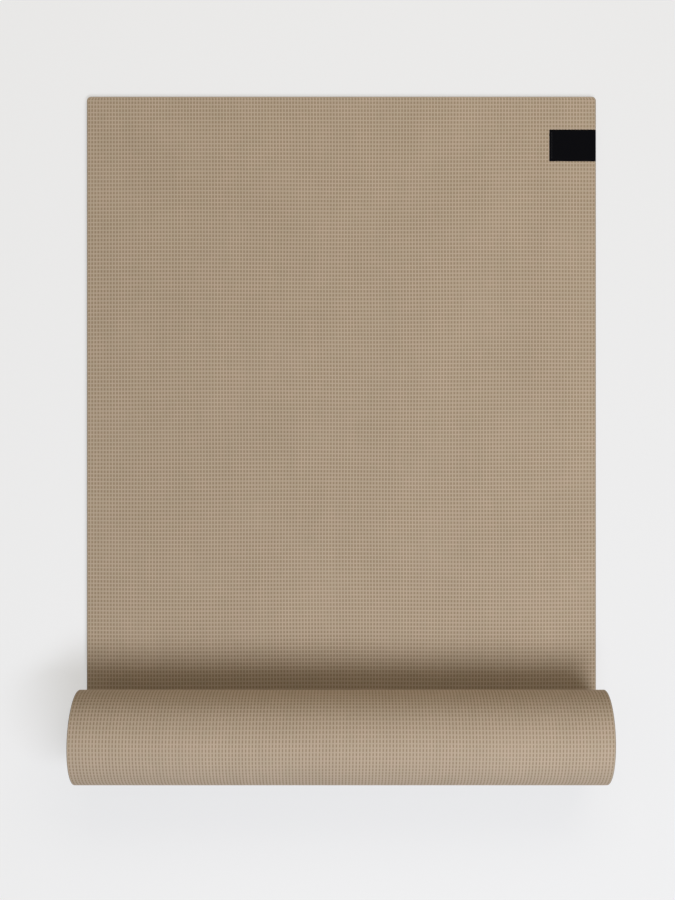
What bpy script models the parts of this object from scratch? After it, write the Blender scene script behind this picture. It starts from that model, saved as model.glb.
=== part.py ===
# Yoga mat, partly unrolled: a foam sheet with a woven net in the middle of its thickness.
# The free end lies flat with the practice face up. The other end is wound into a roll that
# rests on the floor, and a folded label is sewn round the right-hand edge near the free end.
# Metres, +Z up. The origin is on the floor under the middle of the whole outline, +X runs
# across the mat and +Y runs towards the free end.

import math

import bmesh
import bpy
import numpy as np

# The sheet as it is cut
MAT_WIDTH = 0.610
MAT_LENGTH = 1.830
MAT_THICKNESS = 0.006
CORNER_RADIUS = 0.005
SCRIM_THICKNESS = 0.0003

# How the sheet lies
FLAT_LENGTH = 0.752  # from the free end to the line where the sheet lifts off the floor
CORE_RADIUS = 0.0205  # hollow middle of the roll
TURN_AIR = 0.001  # air between one turn and the next

# The label and its fold round the mat's edge
LABEL_FLAP = 0.056
LABEL_WIDTH = 0.038
LABEL_THICKNESS = 0.0004
LABEL_FROM_END = 0.041
LABEL_FOLD_RADIUS = 0.0012

# The lockstitched seam through both flaps of the label
THREAD_DIAMETER = 0.0004
STITCH_LENGTH = 0.0032
SEAM_FROM_FLAP_END = 0.003
SEAM_FROM_LABEL_SIDE = 0.003
THREAD_LEG_GAP = 0.0005  # between the way down and the way up in one needle hole

# Air between neighbouring pieces, and how far a cutter runs past what it cuts
CLEARANCE = 0.0003
CUTTER_OVERRUN = 0.002

# Fineness of the facets
FACETS_PER_TURN = 48
FACETS_PER_CORNER = 4

# Heights in the sheet's thickness, counted from its underside
SCRIM_HEIGHT = MAT_THICKNESS / 2
COAT_THICKNESS = (MAT_THICKNESS - SCRIM_THICKNESS) / 2 - CLEARANCE
BASE_COAT_HEIGHT = COAT_THICKNESS / 2
TOP_COAT_HEIGHT = MAT_THICKNESS - COAT_THICKNESS / 2

# The roll's spiral, followed on the net, whose length stays the same however the mat lies
TURN_PITCH = MAT_THICKNESS + TURN_AIR
SPIRAL_END_RADIUS = CORE_RADIUS + SCRIM_HEIGHT
ROLLED_LENGTH = MAT_LENGTH - FLAT_LENGTH
SPIRAL_START_RADIUS = math.sqrt(SPIRAL_END_RADIUS**2 + ROLLED_LENGTH * TURN_PITCH / math.pi)
SPIRAL_ANGLE = math.tau * (SPIRAL_START_RADIUS - SPIRAL_END_RADIUS) / TURN_PITCH

# The label's outer faces: flush with the practice face and the mat's edge, and above the
# floor by the thread that runs below it
LABEL_TOP = MAT_THICKNESS
LABEL_BOTTOM = THREAD_DIAMETER + CLEARANCE
LABEL_EDGE = MAT_WIDTH / 2
LABEL_INNER_END = LABEL_EDGE - LABEL_FLAP

# The seam's line, and the two legs of a thread in each needle hole
SEAM_X = LABEL_INNER_END + SEAM_FROM_FLAP_END
LEG_SPACING = THREAD_DIAMETER + THREAD_LEG_GAP

FOAM_COLOUR = (0.381, 0.301, 0.220)
NET_COLOUR = (0.70, 0.67, 0.60)
LABEL_COLOUR = (0.006, 0.006, 0.007)
THREAD_COLOUR = (0.010, 0.010, 0.011)


def clear_scene():
    for item in list(bpy.context.scene.objects):
        bpy.data.objects.remove(item, do_unlink=True)


def new_collection(name):
    collection = bpy.data.collections.new(name)
    bpy.context.scene.collection.children.link(collection)
    return collection


def new_material(name, colour, roughness):
    material = bpy.data.materials.new(name)
    material.use_nodes = True
    shader = material.node_tree.nodes["Principled BSDF"]
    shader.inputs["Base Color"].default_value = (*colour, 1)
    shader.inputs["Roughness"].default_value = roughness
    shader.inputs["Metallic"].default_value = 0
    return material


# A row across the sheet: the net's middle line there, the direction that faces the
# practice side, and half the sheet's width, which narrows round the four corners.
def flat_row(from_end, half_width):
    return FLAT_LENGTH - from_end, SCRIM_HEIGHT, 0, 1, half_width


def spiral_row(angle, half_width):
    shrink = TURN_PITCH / math.tau
    lean = math.atan2(shrink, SPIRAL_START_RADIUS)  # keeps the lift-off tangent to the floor
    radius = SPIRAL_START_RADIUS - shrink * angle
    centre_y = -SPIRAL_START_RADIUS * math.sin(lean)
    centre_z = SCRIM_HEIGHT + SPIRAL_START_RADIUS * math.cos(lean)
    turned = lean - math.pi / 2 - angle
    out_y, out_z = math.cos(turned), math.sin(turned)
    along_y = radius * out_z - shrink * out_y
    along_z = -radius * out_y - shrink * out_z
    length = math.hypot(along_y, along_z)
    y, z = centre_y + radius * out_y, centre_z + radius * out_z
    return y, z, along_z / length, -along_y / length, half_width


# How far a rounded corner's rows lie from the sheet's end, and half the width there
def corner_steps():
    for step in range(FACETS_PER_CORNER + 1):
        turned = step / FACETS_PER_CORNER * math.pi / 2
        from_end = CORNER_RADIUS * (1 - math.cos(turned))
        yield from_end, MAT_WIDTH / 2 - CORNER_RADIUS * (1 - math.sin(turned))


def sheet_rows():
    full = MAT_WIDTH / 2
    rows = [flat_row(from_end, half_width) for from_end, half_width in corner_steps()]
    plain_angle = SPIRAL_ANGLE - CORNER_RADIUS / SPIRAL_END_RADIUS
    steps = math.ceil(plain_angle / math.tau * FACETS_PER_TURN)
    rows += [spiral_row(plain_angle * step / steps, full) for step in range(steps)]
    for from_end, half_width in reversed(list(corner_steps())):
        rows.append(spiral_row(SPIRAL_ANGLE - from_end / SPIRAL_END_RADIUS, half_width))
    rows = np.array(rows)
    underside_y = rows[:, 0] - SCRIM_HEIGHT * rows[:, 2]
    rows[:, 0] -= (underside_y.max() + underside_y.min()) / 2
    return rows


# The sheet's y and z at one height above its underside
def side_line(rows, height):
    return rows[:, 0:2] + (height - SCRIM_HEIGHT) * rows[:, 2:4]


# A ribbon through pairs of points, as an open surface
def ribbon_mesh(name, pairs):
    shape = bmesh.new()
    rungs = [[shape.verts.new(point) for point in pair] for pair in pairs]
    for (a, b), (c, d) in zip(rungs, rungs[1:]):
        shape.faces.new((a, b, d, c))
    mesh = bpy.data.meshes.new(name)
    shape.to_mesh(mesh)
    shape.free()
    return mesh


# The mesh of an object with its modifiers applied, smooth but for its real edges
def finished_mesh(item):
    item = item.evaluated_get(bpy.context.evaluated_depsgraph_get())
    mesh = bpy.data.meshes.new_from_object(item)
    shape = bmesh.new()
    shape.from_mesh(mesh)
    bmesh.ops.remove_doubles(shape, verts=shape.verts, dist=CLEARANCE / 100)
    shape.to_mesh(mesh)
    shape.free()
    mesh.shade_smooth()
    mesh.set_sharp_from_angle(angle=math.radians(35))
    return mesh


# A sheet of even thickness about a ribbon
def thick_ribbon(name, pairs, thickness, collection, material):
    item = bpy.data.objects.new(name, ribbon_mesh(name, pairs))
    collection.objects.link(item)
    wall = item.modifiers.new("wall", "SOLIDIFY")
    wall.thickness = thickness
    wall.offset = 0
    wall.use_even_offset = True
    mesh = finished_mesh(item)
    item.modifiers.clear()
    item.data = mesh
    mesh.name = name
    mesh.materials.append(material)
    return item


def sheet_layer(name, rows, height, thickness, collection, material):
    pairs = [
        ((-half_width, y, z), (half_width, y, z))
        for (y, z), half_width in zip(side_line(rows, height), rows[:, 4])
    ]
    return thick_ribbon(name, pairs, thickness, collection, material)


# Points round the fold between two heights, from the upper flap to the lower one
def fold_outline(edge_x, upper, lower, radius, steps=FACETS_PER_CORNER):
    points = []
    for step in range(steps + 1):
        turned = step / steps * math.pi / 2
        out = radius * math.sin(turned)
        points.append((edge_x - radius + out, upper - radius + radius * math.cos(turned)))
    points += [(x, upper + lower - z) for x, z in reversed(points)]
    return points


def edge_label(middle_y, collection, material):
    half = LABEL_THICKNESS / 2
    upper, lower = LABEL_TOP - half, LABEL_BOTTOM + half
    line = [(LABEL_INNER_END, upper)]
    line += fold_outline(LABEL_EDGE - half, upper, lower, LABEL_FOLD_RADIUS - half)
    line.append((LABEL_INNER_END, lower))
    near, far = middle_y - LABEL_WIDTH / 2, middle_y + LABEL_WIDTH / 2
    pairs = [((x, near, z), (x, far, z)) for x, z in line]
    return thick_ribbon("edge_label", pairs, LABEL_THICKNESS, collection, material)


def hide_cutter(item):
    item.display_type = "WIRE"
    item.hide_render = True
    return item


# The foam and net that give way to the folded label: a C-shaped outline, open outwards
def label_pocket(middle_y, collection):
    inset = LABEL_THICKNESS + CLEARANCE
    upper, lower = LABEL_TOP - inset, LABEL_BOTTOM + inset
    start = LABEL_INNER_END - CLEARANCE
    past_edge = LABEL_EDGE + CUTTER_OVERRUN
    above, below = MAT_THICKNESS + CUTTER_OVERRUN, -CUTTER_OVERRUN
    radius = max(LABEL_FOLD_RADIUS - inset, CLEARANCE)
    outline = [(start, below), (past_edge, below), (past_edge, above), (start, above)]
    outline += [(start, upper), *fold_outline(LABEL_EDGE - inset, upper, lower, radius), (start, lower)]

    curve = bpy.data.curves.new("label_pocket", "CURVE")
    curve.dimensions = "2D"
    curve.fill_mode = "BOTH"
    curve.extrude = LABEL_WIDTH / 2 + CLEARANCE
    spline = curve.splines.new("POLY")
    spline.points.add(len(outline) - 1)
    for point, (x, z) in zip(spline.points, outline):
        point.co = (x, z, 0, 1)
    spline.use_cyclic_u = True
    drawn = bpy.data.objects.new("label_pocket_outline", curve)
    collection.objects.link(drawn)
    drawn.rotation_euler = (math.pi / 2, 0, 0)
    drawn.location = (0, middle_y, 0)
    bpy.context.view_layer.update()

    cutter = bpy.data.objects.new("label_pocket", finished_mesh(drawn))
    cutter.matrix_world = drawn.matrix_world
    collection.objects.link(cutter)
    bpy.data.objects.remove(drawn, do_unlink=True)
    bpy.data.curves.remove(curve)
    return hide_cutter(cutter)


# Where the needle goes through, spaced evenly along the label
def needle_places(middle_y):
    run = LABEL_WIDTH - 2 * SEAM_FROM_LABEL_SIDE
    stitches = max(round(run / STITCH_LENGTH), 2)
    return [middle_y + run * (hole / stitches - 1 / 2) for hole in range(stitches + 1)]


# One slot for each needle hole, wide enough for both legs of the thread
def needle_holes(places, collection):
    wide = THREAD_DIAMETER + 2 * CLEARANCE
    long = LEG_SPACING + THREAD_DIAMETER + 2 * CLEARANCE
    tall = MAT_THICKNESS + 2 * CUTTER_OVERRUN
    shape = bmesh.new()
    for place in places:
        slot = bmesh.ops.create_cube(shape, size=1)["verts"]
        bmesh.ops.scale(shape, vec=(wide, long, tall), verts=slot)
        bmesh.ops.translate(shape, vec=(SEAM_X, place, SCRIM_HEIGHT), verts=slot)
    mesh = bpy.data.meshes.new("needle_holes")
    shape.to_mesh(mesh)
    shape.free()
    cutter = bpy.data.objects.new("needle_holes", mesh)
    collection.objects.link(cutter)
    return hide_cutter(cutter)


# A thread that runs along one face of the label and dips into each hole as far as the
# net, where it would hook round its partner. Its two ends lie in the first and last hole.
def seam_thread(name, places, run_height, dip_height, collection, material):
    leg = LEG_SPACING / 2
    bend = THREAD_DIAMETER / 2 * math.copysign(1, run_height - dip_height)
    cut = abs(bend)
    path = [(places[0] + leg, dip_height)]
    for here, after in zip(places, places[1:]):
        path += [(here + leg, run_height - bend), (here + leg + cut, run_height)]
        path += [(after - leg - cut, run_height), (after - leg, run_height - bend)]
        if after != places[-1]:
            path += [(after - leg, dip_height + bend), (after - leg + cut, dip_height)]
            path += [(after + leg - cut, dip_height), (after + leg, dip_height + bend)]
    path.append((places[-1] - leg, dip_height))

    curve = bpy.data.curves.new(name, "CURVE")
    curve.dimensions = "3D"
    curve.bevel_depth = THREAD_DIAMETER / 2
    curve.bevel_resolution = 1
    curve.use_fill_caps = True
    curve.twist_mode = "Z_UP"
    spline = curve.splines.new("POLY")
    spline.points.add(len(path) - 1)
    for point, (y, z) in zip(spline.points, path):
        point.co = (SEAM_X, y, z, 1)
    curve.materials.append(material)
    item = bpy.data.objects.new(name, curve)
    collection.objects.link(item)
    return item


def cut_away(item, cutter):
    cut = item.modifiers.new(cutter.name, "BOOLEAN")
    cut.operation = "DIFFERENCE"
    cut.solver = "EXACT"
    cut.object = cutter


# The narrowest air between one turn of the roll and the next, measured on the rows
def least_turn_gap(rows):
    practice = side_line(rows, MAT_THICKNESS)
    underside = side_line(rows, 0)
    half_turn = FACETS_PER_TURN // 2
    first = FACETS_PER_CORNER + 1
    gaps = [
        np.hypot(*(practice[row] - underside[row + half_turn :]).T).min()
        for row in range(first, len(rows) - half_turn)
    ]
    return min(gaps)


def main():
    clear_scene()
    parts = new_collection("yoga_mat")
    cutters = new_collection("cutters")
    foam = new_material("foam", FOAM_COLOUR, 0.85)
    net = new_material("net", NET_COLOUR, 0.80)
    label_cloth = new_material("label_cloth", LABEL_COLOUR, 0.70)
    thread = new_material("thread", THREAD_COLOUR, 0.60)

    rows = sheet_rows()
    free_end = rows[0, 0]
    label_middle = free_end - LABEL_FROM_END - LABEL_WIDTH / 2
    places = needle_places(label_middle)

    base_foam = sheet_layer("base_foam", rows, BASE_COAT_HEIGHT, COAT_THICKNESS, parts, foam)
    scrim = sheet_layer("reinforcing_scrim", rows, SCRIM_HEIGHT, SCRIM_THICKNESS, parts, net)
    top_foam = sheet_layer("top_foam", rows, TOP_COAT_HEIGHT, COAT_THICKNESS, parts, foam)
    label = edge_label(label_middle, parts, label_cloth)

    pocket = label_pocket(label_middle, cutters)
    holes = needle_holes(places, cutters)
    for item in (base_foam, scrim, top_foam):
        cut_away(item, pocket)
    for item in (base_foam, scrim, top_foam, label):
        cut_away(item, holes)

    reach = (CLEARANCE + THREAD_DIAMETER) / 2  # from the net to a dip's middle line
    needle_run = LABEL_TOP + CLEARANCE + THREAD_DIAMETER / 2
    bobbin_run = LABEL_BOTTOM - CLEARANCE - THREAD_DIAMETER / 2
    seam_thread("needle_thread", places, needle_run, SCRIM_HEIGHT + reach, parts, thread)
    seam_thread("bobbin_thread", places, bobbin_run, SCRIM_HEIGHT - reach, parts, thread)

    print(f"roll: {SPIRAL_ANGLE / math.tau:.2f} turns, least gap {least_turn_gap(rows):.5f} m")


main()
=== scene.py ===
# Yoga mat, partly unrolled: the looks of the part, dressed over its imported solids.
# All of it is modelled in the sheet's own measures, across it and along it from the free
# end, and then laid flat and wound up, so pits and yarns run true in every turn.

import math

import bpy
import numpy as np
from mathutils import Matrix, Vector


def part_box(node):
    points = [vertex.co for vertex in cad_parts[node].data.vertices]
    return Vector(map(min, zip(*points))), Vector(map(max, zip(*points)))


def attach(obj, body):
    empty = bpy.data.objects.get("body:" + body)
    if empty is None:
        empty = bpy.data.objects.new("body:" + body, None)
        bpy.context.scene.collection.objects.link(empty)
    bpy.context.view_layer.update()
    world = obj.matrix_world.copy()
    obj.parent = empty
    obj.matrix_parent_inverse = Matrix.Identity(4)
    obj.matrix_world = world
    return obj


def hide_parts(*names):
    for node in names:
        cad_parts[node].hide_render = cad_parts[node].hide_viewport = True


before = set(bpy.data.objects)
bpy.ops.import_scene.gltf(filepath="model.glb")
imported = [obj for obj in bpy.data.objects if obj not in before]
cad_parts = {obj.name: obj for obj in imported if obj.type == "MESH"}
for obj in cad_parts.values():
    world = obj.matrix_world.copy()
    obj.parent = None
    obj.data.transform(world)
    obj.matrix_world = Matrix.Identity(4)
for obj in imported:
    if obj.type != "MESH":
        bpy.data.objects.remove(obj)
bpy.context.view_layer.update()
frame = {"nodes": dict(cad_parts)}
chance = np.random.default_rng(7)
print("frame loaded:", ", ".join(frame["nodes"]))


# Shader maths: a wire is a node's output, and a sum of wires adds its Math nodes
class Wire:
    def __init__(self, finish, socket):
        self.finish, self.socket = finish, socket

    def math(self, operation, first, second):
        return self.finish.node("ShaderNodeMath", {"operation": operation}, {0: first, 1: second})

    def __add__(self, other):
        return self.math("ADD", self, other)

    def __radd__(self, other):
        return self.math("ADD", other, self)

    def __sub__(self, other):
        return self.math("SUBTRACT", self, other)

    def __mul__(self, other):
        return self.math("MULTIPLY", self, other)

    def __rmul__(self, other):
        return self.math("MULTIPLY", other, self)


# The nodes of one material, or of the sky
class Finish:
    def __init__(self, name, kind=bpy.data.materials):
        self.owner = kind.new(name)
        self.owner.use_nodes = True
        self.tree = self.owner.node_tree
        self.shader = self.tree.nodes.get("Principled BSDF")

    def node(self, kind, settings, sockets, output=0):
        made = self.tree.nodes.new(kind)
        for key, value in settings.items():
            setattr(made, key, value)
        for key, value in sockets.items():
            if isinstance(value, Wire):
                self.tree.links.new(value.socket, made.inputs[key])
            else:
                made.inputs[key].default_value = value
        return Wire(self, made.outputs[output])

    def place(self, name):
        return self.node("ShaderNodeAttribute", {"attribute_name": name}, {}, "Vector")

    def amount(self, name):
        return self.node("ShaderNodeAttribute", {"attribute_name": name}, {}, "Fac")

    def stretched(self, place, scale):
        return self.node("ShaderNodeVectorMath", {"operation": "MULTIPLY"}, {0: place, 1: scale})

    def noise(self, place, size, detail=2.0):
        sockets = {"Vector": place, "Scale": 1 / size, "Detail": detail}
        return self.node("ShaderNodeTexNoise", {}, sockets, "Fac")

    def blend(self, share, first, second, way="MIX"):
        settings = {"data_type": "RGBA", "blend_type": way}
        sockets = {0: share, 6: first, 7: second}  # where the Mix node has its two colours
        return self.node("ShaderNodeMix", settings, sockets, 2)

    def mapped(self, value, low, high, start=0.0, kind="LINEAR"):
        sockets = {"Value": value, "From Min": low, "From Max": high, "To Min": start}
        return self.node("ShaderNodeMapRange", {"interpolation_type": kind}, sockets)

    def bump(self, height, distance):
        sockets = {"Height": height, "Distance": distance, "Strength": 1.0}
        return self.node("ShaderNodeBump", {}, sockets)

    def finish(self, **sockets):
        names = {
            "colour": "Base Color",
            "roughness": "Roughness",
            "normal": "Normal",
            "gloss": "Specular IOR Level",
        }
        for key, value in sockets.items():
            if isinstance(value, Wire):
                self.tree.links.new(value.socket, self.shader.inputs[names[key]])
            else:
                self.shader.inputs[names[key]].default_value = value
        return self.owner


def rgb(red, green, blue):
    return red, green, blue, 1


# The sheet, as it is cut and as it lies
sheet = {
    "width": 0.610,
    "length": 1.830,
    "thickness": 0.006,
    "cornerRadius": 0.005,
    "flatLength": 0.752,  # from the free end to the line where the sheet lifts off the floor
    "coreRadius": 0.0205,
    "turnAir": 0.001,
    "turnDrift": 0.0009,  # how far a turn slips sideways in the roll
    "driftWave": 0.42,  # rolled length in which it slips to and fro once
    "sway": 0.0004,  # how far the net's yarns stray from straight lines
    "swayEnd": 0.1,  # over which they settle down towards the sheet's two ends
    "warpWave": (0.047, 2.0, 0.110),  # a wave, and how far a second one shifts it
    "weftWave": (0.061, 1.5, 0.130),
    "columns": 164,  # openings of the net across the sheet
    "rowPitch": 0.0047,  # and from one weft yarn to the next
}
netHeight = sheet["thickness"] / 2
turnPitch = sheet["thickness"] + sheet["turnAir"]
rolledLength = sheet["length"] - sheet["flatLength"]
endRadius = sheet["coreRadius"] + netHeight
startRadius = math.sqrt(endRadius**2 + rolledLength * turnPitch / math.pi)
shrink = turnPitch / math.tau  # loss of radius with each radian of the spiral
lean = math.atan2(shrink, startRadius)
centreY = -startRadius * math.sin(lean)
centreZ = netHeight + startRadius * math.cos(lean)
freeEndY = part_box("base_foam")[1].y
contactY = freeEndY - sheet["flatLength"]


def swayWave(place, other, wave):
    length, shift, otherLength = wave
    return np.sin(place / length + shift * np.sin(other / otherLength))


# From the sheet's own measures, across, along and up from its underside, to the room's
def layOut(across, along, height):
    offEdge = 1 - (2 * across / sheet["width"]) ** 2
    offEnd = np.clip(np.minimum(along, sheet["length"] - along) / sheet["swayEnd"], 0, 1)
    swayX = swayWave(along, across, sheet["warpWave"])
    swayY = swayWave(across, along, sheet["weftWave"])
    across = across + sheet["sway"] * offEdge * swayX
    along = along + sheet["sway"] * offEnd * swayY
    rolled = np.maximum(along - sheet["flatLength"], 0)
    turned = (startRadius - np.sqrt(startRadius**2 - 2 * shrink * rolled)) / shrink
    radius = startRadius - shrink * turned
    angle = lean - math.pi / 2 - turned
    outY, outZ = np.cos(angle), np.sin(angle)
    alongY, alongZ = radius * outZ - shrink * outY, -radius * outY - shrink * outZ
    size = np.hypot(alongY, alongZ)
    above = height - netHeight
    isRolled = along > sheet["flatLength"]
    flatY = sheet["flatLength"] - along
    y = np.where(isRolled, centreY + radius * outY + above * alongZ / size, flatY)
    z = np.where(isRolled, centreZ + radius * outZ - above * alongY / size, height)
    x = across - sheet["turnDrift"] * np.sin(math.tau * rolled / sheet["driftWave"])
    return np.stack([x, y + contactY, z], axis=1)


# Boxes of the texture map are left, bottom, right and top, in shares of its side
atlas = {
    "whole": (0.004, 0.004, 0.996, 0.996),
    "gap": 0.004,  # between two boxes
    "cell": 0.8,  # of its column, the width of one of several strips in a box
    "wall": 0.012,  # width of a coat's cut side
    "end": 0.006,  # height of a sleeve's closed end
}


# Faces share one list of points. A patch is a block of faces with one material and one
# box of the texture map, in which each face corner has its place. A point's kind is 1 in
# a face with ribs, 2 where pits meet in a ridge and 3 on a rim beside the net, and its line
# is its row in that face.
class Shape:
    def __init__(self):
        self.across, self.along, self.height = [], [], []
        self.pit, self.line, self.kind = [], [], []
        self.count = 0
        self.lines = 0
        self.patches = []

    def points(self, across, along, height, pit=0.0, line=-1, kind=0):
        form = np.broadcast(across, along, height).shape
        for store, value in (
            (self.across, across),
            (self.along, along),
            (self.height, height),
            (self.pit, pit),
            (self.line, line),
            (self.kind, kind),
        ):
            store.append(np.broadcast_to(value, form).ravel())
        first = self.count
        self.count += math.prod(form)
        return np.arange(first, self.count).reshape(form)

    def patch(self, faces, material, box, shareX, shareY):
        self.patches.append((faces, material, box, shareX[faces], shareY[faces]))

    def joined(self):
        names = ("across", "along", "height", "pit", "line", "kind")
        return [np.concatenate(getattr(self, name)) for name in names]


def quads(grid):
    near, far = grid[..., :-1, :], grid[..., 1:, :]
    corners = (near[..., :-1], far[..., :-1], far[..., 1:], near[..., 1:])
    return np.stack(corners, axis=-1).reshape(-1, 4)


def fans(a, b, c, d, middle):
    faces = [(a, b, middle), (b, c, middle), (c, d, middle), (d, a, middle)]
    return np.concatenate([np.stack([x.ravel() for x in face], axis=-1) for face in faces])


# Triangles from one row of points to the next, where the two have different counts
def zipRows(shape, near, far):
    across = np.concatenate(shape.across)
    nearMiddle = (across[near[:-1]] + across[near[1:]]) / 2
    farMiddle = (across[far[:-1]] + across[far[1:]]) / 2
    apex = far[np.searchsorted(farMiddle, nearMiddle, "left")]
    nearFaces = np.stack([near[:-1], apex, near[1:]], axis=-1)
    apex = near[np.searchsorted(nearMiddle, farMiddle, "right")]
    farFaces = np.stack([apex, far[:-1], far[1:]], axis=-1)
    return np.concatenate([nearFaces, farFaces])


# One grid of points, or several of one form, made into faces with a box of the map
def addSkin(shape, grid, box):
    parts = grid.reshape(-1, *grid.shape[-2:])
    step = np.linspace(0, 1 if len(parts) == 1 else atlas["cell"], parts.shape[2])
    shareX = (np.arange(len(parts))[:, None, None] + step) / len(parts) + np.zeros(parts.shape)
    shareY = np.linspace(0, 1, parts.shape[1])[:, None] + np.zeros(parts.shape)
    shape.patches.append((quads(parts), 0, box, quads(shareX), quads(shareY)))


# A flat sleeve: rows of rings, each of them a face there and back, closed at both ends
def addSleeve(shape, grid, box):
    left, bottom, right, top = box
    end, gap = atlas["end"], atlas["gap"]
    skinBox = (left, bottom + end + gap, right, top - end - gap)
    addSkin(shape, np.concatenate([grid, grid[:, :1]], axis=1), skinBox)
    half = grid.shape[1] // 2
    first, last = grid[0], grid[-1]
    cap = np.stack([first[:half - 1 : -1], first[:half]])
    addSkin(shape, cap, (left, bottom, right, bottom + end))
    cap = np.stack([last[:half], last[:half - 1 : -1]])
    addSkin(shape, cap, (left, top - end, right, top))


def buildMesh(name, points, patches, facesDown=False):
    mesh = bpy.data.meshes.new(name)
    corners, sizes, materials, places = [], [], [], []
    for faces, material, box, shareX, shareY in patches:
        if facesDown:
            faces, shareX, shareY = (values[:, ::-1] for values in (faces, shareX, shareY))
        corners.append(faces.ravel())
        sizes.append(np.full(len(faces), faces.shape[1]))
        materials.append(np.full(len(faces), material))
        x = box[0] + (box[2] - box[0]) * shareX.ravel()
        y = box[1] + (box[3] - box[1]) * shareY.ravel()
        places.append(np.stack([x, y], axis=1))
    corners, sizes = np.concatenate(corners), np.concatenate(sizes)
    mesh.vertices.add(len(points))
    mesh.vertices.foreach_set("co", points.astype(np.float32).ravel())
    mesh.loops.add(len(corners))
    mesh.loops.foreach_set("vertex_index", corners.astype(np.int32))
    mesh.polygons.add(len(sizes))
    starts = np.concatenate([[0], np.cumsum(sizes)[:-1]])
    mesh.polygons.foreach_set("loop_start", starts.astype(np.int32))
    mesh.polygons.foreach_set("material_index", np.concatenate(materials).astype(np.int32))
    mesh.update(calc_edges=True)
    mesh.polygons.foreach_set("use_smooth", np.ones(len(sizes), bool))
    placed = mesh.uv_layers.new(name="OFBake")
    placed.data.foreach_set("uv", np.concatenate(places).astype(np.float32).ravel())
    return mesh


def storeValues(mesh, name, values):
    kind, field = ("FLOAT", "value") if values.ndim == 1 else ("FLOAT_VECTOR", "vector")
    store = mesh.attributes.new(name, kind, "POINT")
    store.data.foreach_set(field, values.astype(np.float32).ravel())


# Marks the edges that are shaded sharp
def creaseEdges(mesh, line, kind):
    ends = np.empty(len(mesh.edges) * 2, np.int32)
    mesh.edges.foreach_get("vertices", ends)
    a, b = ends.reshape(-1, 2).T
    sameLine = (line[a] == line[b]) & (kind[a] == 1) & (kind[b] == 1)
    ridge = (kind[a] == 2) & (kind[b] == 2)
    rim = (kind[a] == 3) & (kind[b] == 3)
    store = mesh.attributes.new("sharp_edge", "BOOLEAN", "EDGE")
    store.data.foreach_set("value", sameLine | ridge | rim)


def laidMesh(name, shape):
    across, along, height = shape.joined()[:3]
    mesh = buildMesh(name, layOut(across, along, height), shape.patches)
    storeValues(mesh, "sheetPlace", np.stack([across, along, height], axis=1))
    return mesh


def addPiece(name, mesh, materials, slot, *nodes):
    piece = bpy.data.objects.new(name, mesh)
    bpy.context.scene.collection.objects.link(piece)
    for material in materials:
        mesh.materials.append(material)
    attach(piece, "root")
    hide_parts(*nodes)
    print(name, "has", len(mesh.loops) - 2 * len(mesh.polygons), "triangles")
    return piece


# The label's place on the sheet, which the foam gives way to
label = {
    "flap": 0.056,
    "width": 0.038,
    "thickness": 0.0004,
    "fromEnd": 0.0398,
    "foldRadius": 0.0009,
    "proud": 0.00008,  # above the foam round it
    "underGap": 0.0003,  # from the floor to the lower flap
    "air": 0.00002,  # between the label and the foam inside its fold
    "pressReach": 0.0016,  # how far from the label the foam is still pressed in
    "edgeReach": 0.003,  # and how far into the sheet its edge is drawn back
    "step": 0.0008,
    "fineStep": 0.0003,
    "fineZone": 0.006,  # from each end, round the seam
    "foldZone": 0.0015,  # before the mat's edge, where the fold's fine steps start
    "stitch": 0.0032,
    "stitches": 10,
    "seamFromEnd": 0.003,
    "seamDip": 0.00010,
    "seamReach": 0.00035,
    "holeDip": 0.00016,
    "holeReach": 0.0004,
    "wave": 0.00003,  # how uneven the ribbon lies
    "waveLengths": (0.0041, 0.009, 0.006),  # along the edge, and twice from flap to flap
    "ribPitch": 0.00032,
    "ribBump": 0.000025,
    "fibreSize": 0.00012,
    "fibreStretch": (0.2, 1, 1),
    "colours": (rgb(0.0018, 0.0018, 0.0026), rgb(0.0036, 0.0036, 0.0048)),
}
labelMiddle = label["fromEnd"] + label["width"] / 2


# 1 under the label, falling to 0 a little way outside it
def pressShare(across, along):
    outX = sheet["width"] / 2 - label["flap"] - across
    outY = np.abs(along - labelMiddle) - label["width"] / 2
    away = np.hypot(np.maximum(outX, 0), np.maximum(outY, 0)) / label["pressReach"]
    near = np.clip(1 - away, 0, 1)
    return near**2 * (3 - 2 * near)


# The foam and the net draw back from the label that is folded round them
def giveWay(across, along, height):
    share = pressShare(across, along)
    thick = label["thickness"] + label["air"]
    highest = sheet["thickness"] + label["proud"] - thick
    pressed = np.clip(height, label["underGap"] + thick, highest)
    nearEdge = np.clip(1 - (sheet["width"] / 2 - across) / label["edgeReach"], 0, 1)
    return across - thick * share * nearEdge, height + (pressed - height) * share


# The two coats of foam: pressed pits over the net's openings, and a cut, slightly rounded edge
foam = {
    "ribShare": {"practice": 0.08, "floor": 0.42},  # of the pitch across, a rib's width
    "pitDepth": 0.00070,
    "pitScatter": 0.18,
    "ridgeScatter": 0.00004,
    "plainPit": 0.33,  # how far the plain margins take the pits' painted shade
    "edgeRounding": 0.0009,
    "roundingSteps": 3,
    "cornerSteps": 5,
    "rim": 0.000004,  # from the net's middle to each coat's cut edge
    "netSlot": 0.00008,  # and to its inner side
    "tuck": 0.0005,  # from the cut edge to where the inner side starts
    "hiddenStep": 0.0025,
    "hiddenColumns": 4,
    "joint": 0.0004,  # between two stretches that both have pits
    "nipRows": 2,  # rows of openings left out where the roll closes on the flat part
    "cornerShare": 0.08,  # of the half width, where the cells draw in to a rounded corner
    "freeEndBox": (0.004, 0.004, 0.4, 0.02),
    "coreEndBox": (0.45, 0.004, 0.85, 0.02),
    "marginBox": (0.004, 0.024, 0.8, 0.04),
    "coreMarginBox": (0.81, 0.024, 1, 0.04),
    "hiddenBox": (0.86, 0.044, 1, 1),
}


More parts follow.
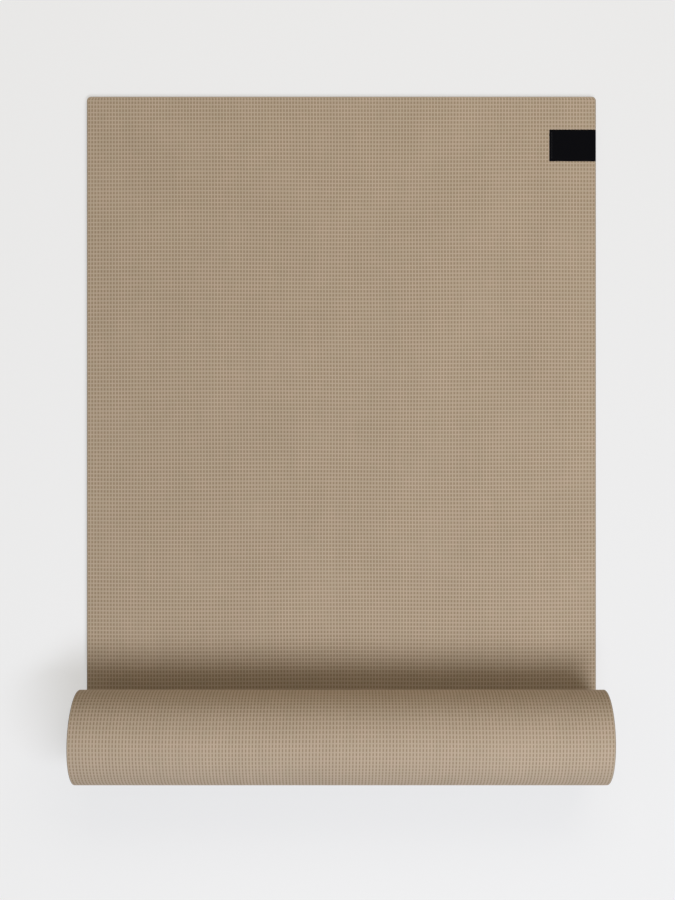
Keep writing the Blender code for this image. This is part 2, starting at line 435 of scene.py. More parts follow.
# The cut edge's profile, from the face to the net: how far in and how far down
def edgeProfile():
    turned = np.linspace(0, math.pi / 2, foam["roundingSteps"] + 1)
    inset = foam["edgeRounding"] * (1 - np.sin(turned))
    drop = foam["edgeRounding"] * (1 - np.cos(turned))
    meeting = (netHeight - foam["rim"], netHeight - foam["netSlot"])
    return np.append(inset, (0, foam["tuck"])), np.append(drop, meeting)


# The sheet's outline beside each row: a point of it and the way out from there
def cornerRows(atFreeEnd):
    turned = np.linspace(0, math.pi / 2, foam["cornerSteps"] + 1)
    radius = sheet["cornerRadius"]
    across = sheet["width"] / 2 - radius * (1 - np.sin(turned))
    fromEnd, outward = radius * (1 - np.cos(turned)), -np.cos(turned)
    if atFreeEnd:
        return across, fromEnd, np.sin(turned), outward
    rows = (across, sheet["length"] - fromEnd, np.sin(turned), -outward)
    return tuple(row[::-1] for row in rows)


def plainRows(start, end, steps):
    along = np.linspace(start, end, steps + 1)
    one = np.ones_like(along)
    return one * sheet["width"] / 2, along, one, 0 * one


# Where the lines of a stretch run across the sheet, as shares of its half width
def cellShares(cells):
    edges = np.linspace(-1, 1, sheet["columns"] + 1)
    if cells in foam["ribShare"]:
        half = foam["ribShare"][cells] / sheet["columns"]
        return np.sort(np.concatenate([[-1, 1], edges[:-1] + half, edges[1:] - half]))
    if cells == "margin":
        return np.linspace(-1, 1, 2 * sheet["columns"] + 1)
    return np.linspace(-1, 1, foam["hiddenColumns"] + 1) if cells == "plain" else edges


# One stretch of a coat: the points and faces of its face, and the rings of points down its
# two cut sides
def coatStretch(shape, rows, cells, outer, inward):
    across, along, outX, outY = (row[:, None] for row in rows)
    inset, drop = edgeProfile()
    fullWidth = sheet["width"] / 2 - inset[0]
    drawnIn, faceAlong = fullWidth - across + inset[0] * outX, along - inset[0] * outY
    share = cellShares(cells)[None, :]
    corner = np.clip(1 - (1 - np.abs(share)) / foam["cornerShare"], 0, 1)
    count = (len(along), share.size)
    crease = np.arange(count[0])[:, None] + 0 * np.arange(count[1])[None, :]
    ribbed = cells in foam["ribShare"]
    kind = 1 if ribbed else 2 * (cells == "hipped")
    level = inward * foam["ridgeScatter"] * chance.random(count) * (kind > 0)
    x, y = fullWidth * share - np.sign(share) * drawnIn * corner, faceAlong + 0 * share
    pit = foam["plainPit"] * (cells == "plain")
    if cells == "margin":  # one row of pits beside the free end, between its two corners
        pit = np.sin(math.pi * along / sheet["cornerRadius"]) * (np.arange(share.size) % 2)
        level = inward * foam["pitDepth"] * pit
    grid = shape.points(x, y, outer + level, pit=pit, line=crease + shape.lines, kind=kind)
    shape.lines += max(count)
    first = grid[0, 0]
    faces = [] if kind else [quads(grid)]
    if ribbed:
        faces += [quads(grid[:, column : column + 2]) for column in range(0, count[1], 2)]
    if kind:
        opened = slice(1, -1, 2) if ribbed else slice(None, -1)
        closed = slice(2, -1, 2) if ribbed else slice(1, None)
        pairs = ((0, opened), (1, opened), (1, closed), (0, closed))
        a, b, c, d = (grid[row : count[0] - 1 + row, columns] - first for row, columns in pairs)
        middleX = (x.ravel()[a] + x.ravel()[c]) / 2
        middleY = (y.ravel()[a] + y.ravel()[c]) / 2
        depth = foam["pitDepth"] * (1 + foam["pitScatter"] * (chance.random(a.shape) - 0.5))
        middle = shape.points(middleX, middleY, outer + inward * depth, pit=1.0)
        faces.append(fans(a + first, b + first, c + first, d + first, middle))
    sides = []
    for sign in (-1, 1):
        rings = [grid[:, 0] if sign < 0 else grid[:, -1]]
        for step in range(1, len(inset)):
            ringX = sign * (across - inset[step] * outX)[:, 0]
            ringY = (along - inset[step] * outY)[:, 0]
            rim = 3 * (step > foam["roundingSteps"])
            rings.append(shape.points(ringX, ringY, outer + inward * drop[step], kind=rim))
        rings = np.stack(rings, axis=1)
        sides.append(rings if sign > 0 else rings[:, ::-1])
    return {"grid": grid, "faces": faces, "sides": sides}


# Lays out a stretch's face, its two cut sides and the side that meets the net, and joins
# them to the row of the stretch before or after it
def coatPatches(shape, part, before, after, extent, box):
    grid, faces, sides = part["grid"], part["faces"], part["sides"]
    if before:
        faces.append(zipRows(shape, before["grid"][-1], grid[0]))
        sides = [np.vstack([old[-1:], own]) for old, own in zip(before["sides"], sides)]
    if after:
        faces.append(zipRows(shape, grid[-1], after["grid"][0]))
        sides = [np.vstack([own, new[:1]]) for own, new in zip(sides, after["sides"])]
    faceX = np.concatenate(shape.across) / sheet["width"] + 1 / 2
    faceY = (np.concatenate(shape.along) - extent[0]) / (extent[1] - extent[0])
    left, bottom, right, top = box
    gap, wall = atlas["gap"], atlas["wall"]
    for block in faces:
        shape.patch(block, 0, (left, bottom, right - 3 * (wall + gap), top - gap), faceX, faceY)
    for number, rings in enumerate(sides):
        start = right - (3 - number) * (wall + gap) + gap
        sideX = np.zeros(shape.count)
        sideX[rings] = np.linspace(0, 1, rings.shape[1])
        shape.patch(quads(rings), 1, (start, bottom, start + wall, top - gap), sideX, faceY)
    under = np.stack([sides[1][:, -1], sides[0][:, 0]], axis=1)
    shape.patch(quads(under), 1, (right - wall, bottom, right, top - gap), 1 - faceX, faceY)


# The cut end of a coat, from the first or last row of its face down to the net
def coatEnd(shape, part, atFreeEnd, outer, inward, box):
    inset, drop = edgeProfile()
    end = 0 if atFreeEnd else -1
    row, left, right = part["grid"][end], part["sides"][0][end][::-1], part["sides"][1][end]
    rowX = np.concatenate(shape.across)[row]
    across = rowX / np.abs(rowX).max() * (sheet["width"] / 2 - sheet["cornerRadius"])
    rings = [row]
    for step in range(1, len(inset) - 1):
        along = inset[step] if atFreeEnd else sheet["length"] - inset[step]
        rim = 3 * (step > foam["roundingSteps"])
        inner = shape.points(across[1:-1], along, outer + inward * drop[step], kind=rim)
        rings.append(np.concatenate([left[step : step + 1], inner, right[step : step + 1]]))
    rings, innermost = np.stack(rings), np.array([left[-1], right[-1]])
    shareX, shareY = np.zeros(shape.count), np.zeros(shape.count)
    shareX[rings] = np.linspace(0, 1, len(row))
    shareY[rings] = np.linspace(0, 1, len(rings) + 1)[:-1, None]
    shareX[innermost], shareY[innermost] = (0, 1), 1
    if atFreeEnd:
        blocks = (quads(rings[::-1]), zipRows(shape, innermost, rings[-1]))
    else:
        blocks = (quads(rings), zipRows(shape, rings[-1], innermost))
    for block in blocks:
        shape.patch(block, 1, box, shareX, shareY)


# A whole coat. Where two stretches meet, the plain one gives up its row, or else the later
# one starts a little further on, and its faces go over to the other's row.
def foamCoat(name, stretches, outer, inward):
    shape = Shape()
    plain = [cells in ("plain", "margin") for _, cells, _ in stretches]
    goesOn = [now and not then for now, then in zip(plain, plain[1:])] + [False]
    goesBack = [False] + [not joined for joined in goesOn[:-1]]
    parts = []
    for number, (rows, cells, _) in enumerate(stretches):
        rows = [row.copy() for row in rows]
        rows[1][0] += foam["joint"] * (goesBack[number] and not plain[number])
        kept = slice(int(goesBack[number] and plain[number]), -1 if goesOn[number] else None)
        parts.append(coatStretch(shape, [row[kept] for row in rows], cells, outer, inward))
    for number, (rows, _, box) in enumerate(stretches):
        before = parts[number - 1] if goesBack[number] else None
        after = parts[number + 1] if goesOn[number] else None
        extent = rows[1][0], rows[1][-1]
        coatPatches(shape, parts[number], before, after, extent, box)
    coatEnd(shape, parts[0], True, outer, inward, foam["freeEndBox"])
    coatEnd(shape, parts[-1], False, outer, inward, foam["coreEndBox"])
    across, along, height, pit, line, kind = shape.joined()
    across, height = giveWay(across, along, height)
    points = layOut(across, along, height)
    mesh = buildMesh(name, points, shape.patches, facesDown=inward > 0)
    creaseEdges(mesh, line, kind)
    storeValues(mesh, "sheetPlace", np.stack([across, along, height], axis=1))
    storeValues(mesh, "pit", pit)
    return mesh


# Sizes are those of a noise's largest features
skin = {
    "pitSlope": (0.05, 0.60),  # depth of a pit, as a share, over which its painted shade sets in
    # Painted shade: the pits are coloured darker and browner than the ridges, for the shade that
    # falls in them
    "pitColour": {"practice": rgb(0.306, 0.229, 0.145), "floor": rgb(0.299, 0.222, 0.139)},
    "ridgeColours": (rgb(0.450, 0.370, 0.268), rgb(0.512, 0.390, 0.298)),
    "tone": {"practice": 0.86, "floor": 0.855},
    "fadeSize": 0.07,  # of the areas in which the pits' painted shade is stronger or weaker
    "fadeLeast": 0.80,
    "fadeRange": 0.40,
    "grainSize": 0.0006,
    "grainShade": 0.12,
    "grainBump": 0.00010,
    "blotchSize": 0.09,
    "blotchShade": 0.10,
    "tintSize": 0.016,
    "streakSize": 0.012,
    "streakStretch": (1, 0.06, 1),
    "streakShade": 0.06,
}


def foamSkin(name, side):
    made = Finish(name)
    place = made.place("sheetPlace")
    pit = made.mapped(made.amount("pit"), *skin["pitSlope"], kind="SMOOTHSTEP")
    pit = pit * (skin["fadeLeast"] + skin["fadeRange"] * made.noise(place, skin["fadeSize"], 1))
    grain = made.noise(place, skin["grainSize"], 3)
    blotch = made.noise(place, skin["blotchSize"], 3)
    tint = made.noise(place, skin["tintSize"], 2)
    streak = made.noise(made.stretched(place, skin["streakStretch"]), skin["streakSize"], 2)
    # painted shade: the colour darkens towards each pit's bottom
    colour = made.blend(pit, made.blend(tint, *skin["ridgeColours"]), skin["pitColour"][side])
    shade = skin["tone"][side] + skin["blotchShade"] * blotch + skin["streakShade"] * streak
    shade = shade + skin["grainShade"] * grain
    grey = made.node("ShaderNodeCombineColor", {}, {0: shade, 1: shade, 2: shade})
    colour = made.blend(1.0, colour, grey, "MULTIPLY")
    roughness = 0.72 + 0.10 * grain + 0.08 * pit
    normal = made.bump(grain, skin["grainBump"])
    return made.finish(colour=colour, roughness=roughness, normal=normal, gloss=0.35)


# The cut edge, with the open cells of the foam
cut = {
    "cellSize": 0.0004,
    "cellBump": 0.00015,
    "colours": (rgb(0.345, 0.272, 0.190), rgb(0.25, 0.19, 0.125)),
}


def foamCut():
    made = Finish("foamCut")
    sockets = {"Vector": made.place("sheetPlace"), "Scale": 1 / cut["cellSize"]}
    cells = made.node("ShaderNodeTexVoronoi", {}, sockets, "Distance")
    colour = made.blend(cells, *cut["colours"])
    normal = made.bump(cells, cut["cellBump"])
    return made.finish(colour=colour, roughness=0.9, normal=normal, gloss=0.25)


def addFoam():
    practiceSkin, floorSkin = foamSkin("practiceSkin", "practice"), foamSkin("floorSkin", "floor")
    cutFoam = foamCut()
    pitch = sheet["rowPitch"]
    start = sheet["cornerRadius"]
    flatRows = math.ceil((sheet["flatLength"] - start) / pitch)
    flatEnd = start + flatRows * pitch
    openRows = flatRows - foam["nipRows"]
    openEnd = start + openRows * pitch
    turnRows = math.floor((math.tau * startRadius - shrink * math.tau**2 / 2) / pitch)
    turnEnd = flatEnd + turnRows * pitch
    last = sheet["length"] - sheet["cornerRadius"]
    coreStart = last - math.ceil(math.tau * sheet["coreRadius"] / pitch) * pitch
    coreRows = round((last - coreStart) / pitch)
    hiddenSteps = round((coreStart - openEnd) / foam["hiddenStep"])

    # Each stretch has its rows, its cells and its box of the texture map
    stretches = [
        (cornerRows(True), "margin", foam["marginBox"]),
        (plainRows(start, openEnd, openRows), "practice", (0.004, 0.044, 0.85, 0.84)),
        (plainRows(openEnd, coreStart, hiddenSteps), "plain", foam["hiddenBox"]),
        (plainRows(coreStart, last, coreRows), "hipped", (0.004, 0.844, 0.85, 1)),
        (cornerRows(False), "plain", foam["coreMarginBox"]),
    ]
    mesh = foamCoat("practiceFoam", stretches, sheet["thickness"], -1)
    practice = addPiece("practiceFoam", mesh, (practiceSkin, cutFoam), "foam", "top_foam")

    hiddenSteps = round((last - turnEnd) / foam["hiddenStep"])
    stretches = [
        (cornerRows(True), "margin", foam["marginBox"]),
        (plainRows(start, flatEnd, flatRows), "hipped", (0.004, 0.044, 0.85, 0.62)),
        (plainRows(flatEnd, turnEnd, turnRows), "floor", (0.004, 0.624, 0.85, 1)),
        (plainRows(turnEnd, last, hiddenSteps), "plain", foam["hiddenBox"]),
        (cornerRows(False), "plain", foam["coreMarginBox"]),
    ]
    mesh = foamCoat("floorFoam", stretches, 0.0, 1)
    floor = addPiece("floorFoam", mesh, (floorSkin, cutFoam), "foam", "base_foam")


addFoam()

# The net between the coats: the foam meets in its openings, so it is one thin sheet, and
# its yarns are seen where they were cut, on all four edges
net = {
    "inset": 0.0006,
    "halfThickness": 0.00006,
    "columns": 6,
    "flatStep": 0.02,
    "rolledStep": 0.0025,
    "yarnWidth": 0.00046,
    "yarnHeight": 0.00024,
    "yarnOut": 0.00004,  # beyond the foam's cut edge
    "yarnIn": 0.0007,
    "yarnEdge": (0.00015, 0.00030),  # from a yarn's middle, where foam shows beside it
    "yarnColours": (rgb(0.62, 0.58, 0.50), rgb(0.76, 0.73, 0.66)),
    "foamColour": rgb(0.34, 0.27, 0.19),
    "twistSize": 0.0004,
    "twistBump": 0.00005,
    "sleeveBox": (0.004, 0.004, 0.9, 0.996),
    "yarnBoxes": {
        "left": (0.91, 0.004, 0.95, 0.49),
        "right": (0.956, 0.004, 0.996, 0.49),
        "free": (0.91, 0.5, 0.95, 0.996),
        "core": (0.956, 0.5, 0.996, 0.996),
    },
}


def netSheet(shape):
    start, last = sheet["cornerRadius"], sheet["length"] - sheet["cornerRadius"]
    flatSteps = round((sheet["flatLength"] - start) / net["flatStep"])
    rolledSteps = round((last - sheet["flatLength"]) / net["rolledStep"])
    flat = plainRows(start, sheet["flatLength"], flatSteps)
    rolled = plainRows(sheet["flatLength"], last, rolledSteps)
    parts = zip(cornerRows(True), flat, rolled, cornerRows(False))
    across, along, outX, outY = (np.concatenate(part) for part in parts)
    rows = np.diff(along, prepend=-1) > 1e-9  # without the rows that two stretches share
    halfWidth = (across - net["inset"] * outX)[rows, None]
    along = (along - net["inset"] * outY)[rows, None]
    share = np.linspace(-1, 1, net["columns"] + 1)
    share = np.concatenate([share, share[::-1]])
    side = np.repeat([1, -1], net["columns"] + 1)
    grid = shape.points(halfWidth * share, along, netHeight + net["halfThickness"] * side)
    addSleeve(shape, grid, net["sleeveBox"])


# Cut yarns at points of the edge, each a closed block that points out of it
def cutYarns(shape, across, along, outX, outY, box):
    across, along = (value[:, None, None] for value in np.broadcast_arrays(across, along))
    side = np.array([-1, 1, 1, -1]) * net["yarnWidth"] / 2
    up = np.array([-1, -1, 1, 1]) * net["yarnHeight"] / 2
    reach = np.array([-net["yarnIn"], net["yarnOut"]])[:, None]
    x, y = across + outX * reach - outY * side, along + outY * reach + outX * side
    grid = shape.points(x, y, netHeight + up)
    left, bottom, right, top = box
    wide, gap = (right - left) / 4, atlas["gap"]
    sleeve = np.concatenate([grid, grid[..., :1]], axis=-1)
    addSkin(shape, sleeve, (left, bottom, left + 2 * wide, top))
    inner, outer = grid[:, 0], grid[:, 1]
    tip = np.stack([outer[:, :2], outer[:, :1:-1]], axis=1)
    addSkin(shape, tip, (left + 2 * wide + gap, bottom, right - wide, top))
    root = np.stack([inner[:, :1:-1], inner[:, :2]], axis=1)
    addSkin(shape, root, (right - wide + gap, bottom, right, top))


def netYarn():
    made = Finish("netYarn")
    place = made.place("sheetPlace")
    nearest = None
    for axis, offset, pitch in (
        ("X", 0.0, sheet["width"] / sheet["columns"]),
        ("Y", sheet["cornerRadius"], sheet["rowPitch"]),
    ):
        line = made.node("ShaderNodeSeparateXYZ", {}, {"Vector": place}, axis) - offset
        away = made.node("ShaderNodeMath", {"operation": "PINGPONG"}, {0: line, 1: pitch / 2})
        nearest = away if nearest is None else nearest.math("MINIMUM", nearest, away)
    between = made.mapped(nearest, *net["yarnEdge"])
    twist = made.noise(place, net["twistSize"], 2)
    colour = made.blend(between, made.blend(twist, *net["yarnColours"]), net["foamColour"])
    normal = made.bump(twist, net["twistBump"])
    return made.finish(colour=colour, roughness=0.8, normal=normal, gloss=0.3)


def addNet():
    shape = Shape()
    netSheet(shape)
    halfWidth, corner = sheet["width"] / 2, sheet["cornerRadius"]
    wefts = np.arange(corner + sheet["rowPitch"], sheet["length"] - corner, sheet["rowPitch"])
    warps = np.arange(1, sheet["columns"]) / sheet["columns"] * sheet["width"] - halfWidth
    warps = warps[np.abs(warps) < halfWidth - corner]
    bare = wefts[pressShare(halfWidth, wefts) == 0]  # of the label
    boxes = net["yarnBoxes"]
    cutYarns(shape, -halfWidth, wefts, -1, 0, boxes["left"])
    cutYarns(shape, halfWidth, bare, 1, 0, boxes["right"])
    cutYarns(shape, warps, 0.0, 0, -1, boxes["free"])
    cutYarns(shape, warps, sheet["length"], 0, 1, boxes["core"])
    mesh = laidMesh("netCore", shape)
    piece = addPiece("netCore", mesh, (netYarn(),), "net", "reinforcing_scrim")


addNet()


# The ribbon's middle line, folded round the edge: its places, the way out from it and its
# whole length
def labelLine(run):
    half = label["thickness"] / 2
    radius = label["foldRadius"] - half
    straight, arc = label["flap"] - label["foldRadius"], radius * math.pi / 2
    upper, lower = sheet["thickness"] + label["proud"] - half, label["underGap"] + half
    wall = upper - lower - 2 * radius
    firstTurn = np.clip((run - straight) / arc, 0, 1) * math.pi / 2
    down = np.clip(run - straight - arc, 0, wall)
    lastTurn = np.clip((run - straight - arc - wall) / arc, 0, 1) * math.pi / 2
    back = np.maximum(run - straight - 2 * arc - wall, 0)
    across = sheet["width"] / 2 - label["flap"] + np.minimum(run, straight)
    across = across + radius * np.sin(firstTurn) - radius * (1 - np.cos(lastTurn)) - back
    height = upper - radius * (1 - np.cos(firstTurn)) - down - radius * np.sin(lastTurn)
    outward = firstTurn + lastTurn
    return across, height, np.sin(outward), np.cos(outward), 2 * (straight + arc) + wall


# Where the cross-sections are, from the end of one flap to that of the other
def labelRuns(total):
    half = label["thickness"] / 2
    rounding = half * (1 - np.sin(np.radians([60, 30])))
    fold = label["flap"] - label["foldZone"]
    fine, coarse = label["fineStep"], label["step"]
    first = np.arange(half, label["fineZone"], fine)
    flat = np.arange(label["fineZone"], fold - coarse / 2, coarse)
    last = np.arange(fold, total / 2, fine)
    run = np.concatenate([rounding, first, flat, last])
    return np.concatenate([run, (total - run)[::-1]])


# One cross-section of the ribbon, as places along the mat's edge and sides from 1 to -1
def labelRing():
    half = label["thickness"] / 2
    reach = label["width"] / 2 - half
    face = np.linspace(reach, -reach, round(2 * reach / label["fineStep"]) + 1)
    rim = np.radians([45, 135])
    out = reach + half * np.sin(rim)
    place = np.concatenate([out[:1], face, -out, face[::-1], out[1:]])
    top = np.concatenate([np.cos(rim[:1]), 1 + 0 * face, np.cos(rim[:1])])
    return place, np.concatenate([top, -top])


def labelCloth():
    made = Finish("labelCloth")
    place = made.place("clothPlace")
    settings = {"wave_type": "BANDS", "bands_direction": "Y"}
    scale = 0.314 / label["ribPitch"]  # the texture's bands are 0.314 apart at a scale of 1
    sockets = {"Vector": place, "Scale": scale, "Distortion": 0.8, "Detail": 1.0}
    weft = made.node("ShaderNodeTexWave", settings, sockets, "Fac")
    fibre = made.noise(made.stretched(place, label["fibreStretch"]), label["fibreSize"], 2)
    colour = made.blend(fibre, *label["colours"])
    roughness = 0.66 + 0.14 * weft
    normal = made.bump(weft + 0.5 * fibre, label["ribBump"])
    return made.finish(colour=colour, roughness=roughness, normal=normal, gloss=0.02)


def addLabel():
    total = labelLine(np.zeros(1))[-1]
    run = labelRuns(total)[:, None]
    place, side = (row[None, :] for row in labelRing())
    across, height, outX, outZ, total = labelLine(run)
    fromEnd = np.minimum(run, total - run)
    half = label["thickness"] / 2
    thick = np.sqrt(1 - np.clip(1 - fromEnd / half, 0, 1) ** 2)
    offSeam = fromEnd - label["seamFromEnd"]
    halfSeam = label["stitch"] * label["stitches"] / 2
    nearestHole = np.round(place / label["stitch"]) * label["stitch"]
    offHole = place - np.clip(nearestHole, -halfSeam, halfSeam)
    groove = label["seamDip"] * np.exp(-((offSeam / label["seamReach"]) ** 2))
    groove = groove * (np.abs(place) < halfSeam + label["holeReach"])
    hole = label["holeDip"] * np.exp(-(offSeam**2 + offHole**2) / label["holeReach"] ** 2)
    alongEdge, skew, fromEndToEnd = label["waveLengths"]
    wave = label["wave"] * np.sin(place / alongEdge + run / skew) * np.sin(run / fromEndToEnd)
    lift = half * thick * side - (groove + hole) * np.maximum(side, 0) * thick + wave * thick
    shape = Shape()
    along = labelMiddle + place + 0 * lift
    grid = shape.points(across + outX * lift, along, height + outZ * lift)
    addSleeve(shape, grid, atlas["whole"])
    mesh = laidMesh("edgeLabel", shape)
    cloth = np.stack([run + 0 * lift, along, side * half + 0 * lift], axis=-1)
    storeValues(mesh, "clothPlace", cloth.reshape(-1, 3))
    piece = addPiece("edgeLabel", mesh, (labelCloth(),), "label_cloth", "edge_label")


addLabel()

# The label's seam: two threads of three plies, hooked round each other at the net
thread = {
    "plyRadius": 0.000075,
    "plyOffset": 0.000078,
    "twist": 0.0011,
    "sides": 6,
    "step": 0.00010,
    "radius": 0.00015,
    "legReach": 0.00033,  # from the middle of a hole to each leg in it
    "hook": 0.00017,  # how far past the net's middle each loop reaches
    "bend": 0.00035,
    "bendShare": 0.45,  # of a short stretch of the route, if that is less than the bend
    "smoothings": 3,
    "sunk": 0.00005,  # into the label, along a stitch
    "fibreSize": 0.00005,
    "colours": (rgb(0.008, 0.008, 0.009), rgb(0.018, 0.018, 0.020)),
    "skinBox": (0.004, 0.02, 0.996, 0.98),
    "tipBoxes": ((0.004, 0.004, 0.996, 0.014), (0.004, 0.986, 0.996, 0.996)),
}


# Corners cut back to a bend and then smoothed, and points set at an even step
def smoothPath(points):
    points = np.array(points, float)
    ways = np.diff(points, axis=0)
    sizes = np.linalg.norm(ways, axis=1)
    cut = (np.minimum(thread["bend"], thread["bendShare"] * sizes) / sizes)[:, None]
    starts, ends = points[:-1] + cut * ways, points[1:] - cut * ways
    inner = np.stack([ends[:-1], points[1:-1], starts[1:]], axis=1).reshape(-1, 3)
    path = np.concatenate([points[:1], inner, points[-1:]])
    for _ in range(thread["smoothings"]):
        near, far = 0.75 * path[:-1] + 0.25 * path[1:], 0.25 * path[:-1] + 0.75 * path[1:]
        middle = np.stack([near, far], axis=1).reshape(-1, 3)
        path = np.concatenate([path[:1], middle, path[-1:]])
    gone = np.append(0, np.cumsum(np.linalg.norm(np.diff(path, axis=0), axis=1)))
    even = np.linspace(0, gone[-1], round(gone[-1] / thread["step"]))
    return np.stack([np.interp(even, gone, column) for column in path.T], axis=1), even


# The route of one thread: up is 1 for the needle's and -1 for the bobbin's. Its two legs
# in a hole stand side by side, along the seam for the one and across it for the other.
def seamRoute(up):
    seamX = sheet["width"] / 2 - label["flap"] + label["seamFromEnd"]
    face = sheet["thickness"] + label["proud"] if up > 0 else label["underGap"]
    run = face - up * (label["seamDip"] - thread["radius"] + thread["sunk"])
    turn = netHeight - up * thread["hook"]
    leg = thread["legReach"]
    legX, legY = (0, leg) if up > 0 else (leg, 0)
    route = []
    for hole in range(label["stitches"] + 1):
        place = labelMiddle + label["stitch"] * (hole - label["stitches"] / 2)
        if hole > 0:
            route += [(seamX, place - leg, run)] if up < 0 else []
            route += [(seamX - legX, place - legY, run), (seamX - legX, place - legY, turn)]
        if hole < label["stitches"]:
            route += [(seamX + legX, place + legY, turn), (seamX + legX, place + legY, run)]
            route += [(seamX, place + leg, run)] if up < 0 else []
    return route


def threadMesh(name, up):
    path, gone = smoothPath(seamRoute(up))
    way = np.gradient(path, axis=0)
    way /= np.linalg.norm(way, axis=1)[:, None]
    across = np.empty_like(path)
    across[0] = np.cross(way[0], (0.3, 0.9, 0.3))  # with any way but the first one's own
    for point in range(len(path)):
        carried = across[max(point - 1, 0)]
        carried = carried - way[point] * np.dot(carried, way[point])
        across[point] = carried / np.linalg.norm(carried)
    upward = np.cross(way, across)
    ply = np.arange(3)[:, None, None]
    wound = math.tau * (gone[None, :, None] / thread["twist"] + ply / 3)
    around = np.linspace(0, math.tau, thread["sides"] + 1)[:, None]
    centre = path + thread["plyOffset"] * (np.cos(wound) * across + np.sin(wound) * upward)
    spoke = np.cos(around) * across[1:-1, None] + np.sin(around) * upward[1:-1, None]
    rings = centre[:, 1:-1, None] + thread["plyRadius"] * spoke
    shape = Shape()
    grid = shape.points(rings[..., 0], rings[..., 1], rings[..., 2])
    addSkin(shape, grid, thread["skinBox"])
    ends = zip((grid[:, 0], grid[:, -1, ::-1]), (0, -1), thread["tipBoxes"])
    for ring, end, box in ends:
        tip = shape.points(*centre[:, end].T)
        shareX, shareY = np.zeros(shape.count), np.zeros(shape.count)
        shareX[ring] = (ply[:, 0] + np.linspace(0, atlas["cell"], thread["sides"] + 1)) / 3
        shareX[tip], shareY[tip] = (ply[:, 0, 0] + atlas["cell"] / 2) / 3, 1
        corners = (tip[:, None] + 0 * ring[:, 1:], ring[:, :-1], ring[:, 1:])
        shape.patch(np.stack(corners, axis=-1).reshape(-1, 3), 0, box, shareX, shareY)
    return laidMesh(name, shape)


def addThreads():
    made = Finish("sewingThread")
    fibre = made.noise(made.place("sheetPlace"), thread["fibreSize"], 2)
    colour = made.blend(fibre, *thread["colours"])
    yarn = made.finish(colour=colour, roughness=0.55 + 0.15 * fibre, gloss=0.4)
    mesh = threadMesh("needleThread", 1)
    addPiece("needleThread", mesh, (yarn,), "thread", "needle_thread")
    mesh = threadMesh("bobbinThread", -1)
    addPiece("bobbinThread", mesh, (yarn,), "thread", "bobbin_thread")


addThreads()

# The studio: a pale floor, an even sky, a soft lamp from the front and a weaker one from
# behind. The lamps stand to the right, so the floor that is looked at pales to the left.
studio = {
    "floorSize": 8.0,
    "floorPale": rgb(0.955, 0.955, 0.962),  # its colour half a metre away from the lamps
    "floorDull": rgb(0.82, 0.82, 0.827),  # and half a metre towards them
    "lampWay": (-0.95, -0.30, 0.0),
    "floorGlow": 0.6,  # how much of the floor's look is the backdrop's even colour
    "floorFade": (0.9, 2.4),  # where the floor runs out into the backdrop
    "floorBounce": rgb(0.28, 0.28, 0.285),  # as it lights the mat from below
    "backdropColour": rgb(0.842, 0.842, 0.842),
    "skyColour": rgb(1.0, 0.93, 0.80),
    "skyStrength": 0.228,
    "lampAim": (0.0, -0.1, 0.0),
}
frontLamp = {
    "place": (1.0, -1.45, 2.5),
    "size": (2.6, 0.7),
    "colour": (0.96, 1.0, 1.09),
    "level": 0.64,  # share of plain level that the lamp gives at its aim
}
backLamp = {
    "place": (0.5, 1.55, 1.65),
    "size": (2.0, 1.0),
    "colour": (1.0, 0.93, 0.80),
    "level": 0.2145,
}


# 1 where the floor or backdrop is looked at, straight or in a reflection, and 0 where it
# only lights the mat
def lookedAt(made):
    seen = [
        made.node("ShaderNodeLightPath", {}, {}, ray)
        for ray in ("Is Camera Ray", "Is Glossy Ray", "Is Transmission Ray")
    ]
    either = seen[0].math("MAXIMUM", seen[0], seen[1])
    return either.math("MAXIMUM", either, seen[2])


def studioFloor():
    made = Finish("studioFloor")
    place = made.node("ShaderNodeTexCoord", {}, {}, "Object")
    sockets = {0: place, 1: studio["lampWay"]}
    away = made.node("ShaderNodeVectorMath", {"operation": "DOT_PRODUCT"}, sockets, "Value")
    share = made.mapped(away, -0.5, 0.5)
    seen = lookedAt(made)
    colour = made.blend(share, studio["floorDull"], studio["floorPale"])
    colour = made.blend(seen, studio["floorBounce"], colour)
    made.finish(colour=colour, roughness=0.9, gloss=0.1)
    far = made.node("ShaderNodeVectorMath", {"operation": "LENGTH"}, {0: place}, "Value")
    glow = made.mapped(far, *studio["floorFade"], studio["floorGlow"], "SMOOTHSTEP")
    backdrop = made.node("ShaderNodeEmission", {}, {"Color": studio["backdropColour"]})
    sockets = {0: glow * seen, 1: Wire(made, made.shader.outputs[0]), 2: backdrop}
    mixed = made.node("ShaderNodeMixShader", {}, sockets)
    made.tree.links.new(mixed.socket, made.tree.nodes["Material Output"].inputs["Surface"])
    return made.owner


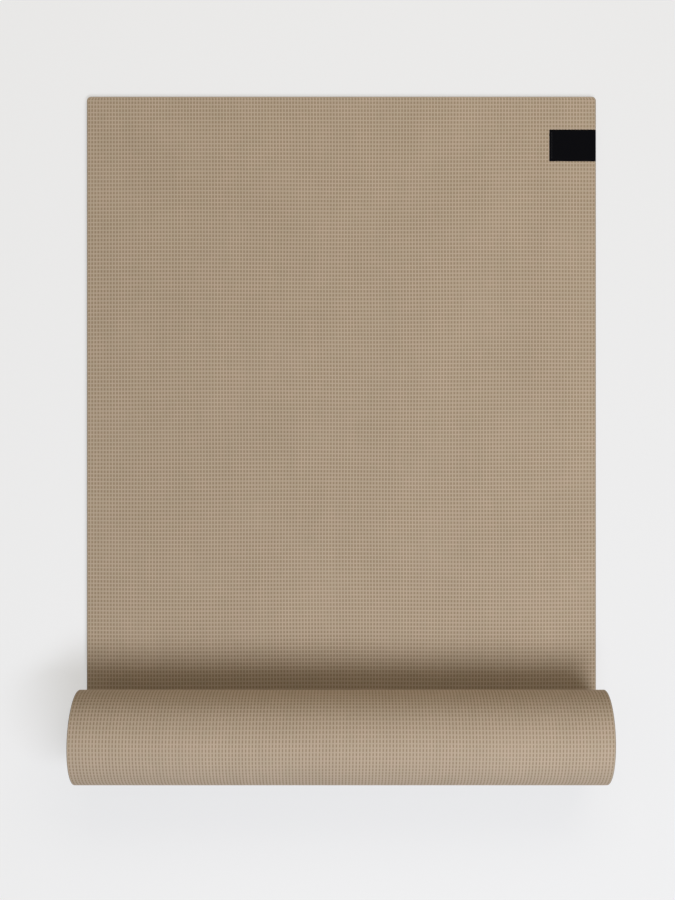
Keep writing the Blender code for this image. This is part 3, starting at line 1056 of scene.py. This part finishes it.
def studioSky():
    made = Finish("studioSky", bpy.data.worlds)
    sky = made.tree.nodes["Background"]
    sky.inputs["Color"].default_value = studio["skyColour"]
    sky.inputs["Strength"].default_value = studio["skyStrength"]
    backdrop = made.node("ShaderNodeBackground", {}, {"Color": studio["backdropColour"]})
    sockets = {0: lookedAt(made), 1: Wire(made, sky.outputs[0]), 2: backdrop}
    mixed = made.node("ShaderNodeMixShader", {}, sockets)
    made.tree.links.new(mixed.socket, made.tree.nodes["World Output"].inputs["Surface"])
    return made.owner


def addLamp(name, given):
    lamp = bpy.data.lights.new(name, "AREA")
    lamp.shape = "RECTANGLE"
    lamp.size, lamp.size_y = given["size"]
    lamp.color = given["colour"]
    item = bpy.data.objects.new(name, lamp)
    bpy.context.scene.collection.objects.link(item)
    item.location = given["place"]
    away = np.array(given["place"]) - np.array(studio["lampAim"])
    distance = float(np.linalg.norm(away))
    item.rotation_mode = "QUATERNION"
    item.rotation_quaternion = Vector(-away).to_track_quat("-Z", "Y")
    lamp.energy = given["level"] * math.pi**2 * distance**2 / (away[2] / distance)


def addStudio():
    bpy.ops.mesh.primitive_plane_add(size=studio["floorSize"])
    floor = bpy.context.object
    floor.name = "studioFloor"
    floor.data.materials.append(studioFloor())
    bpy.context.scene.world = studioSky()
    addLamp("frontLamp", frontLamp)
    addLamp("backLamp", backLamp)


# The camera looks straight down, with the free end at the top of the picture
camera = {
    "place": (-0.00466, -0.0191, 1.425),
    "pictureHeight": 900,
    "flatMatPixels": 509.2,  # width of the flat mat in the photograph
    "sensor": 36.0,
}


def addCamera():
    above = camera["place"][2] - sheet["thickness"]
    focalPixels = camera["flatMatPixels"] / sheet["width"] * above
    data = bpy.data.cameras.new("camera")
    data.sensor_width = camera["sensor"]
    data.lens = focalPixels / camera["pictureHeight"] * camera["sensor"]
    item = bpy.data.objects.new("camera", data)
    item.location = camera["place"]
    bpy.context.scene.collection.objects.link(item)
    bpy.context.scene.camera = item


addStudio()
addCamera()
bpy.context.scene.view_settings.view_transform = "Standard"
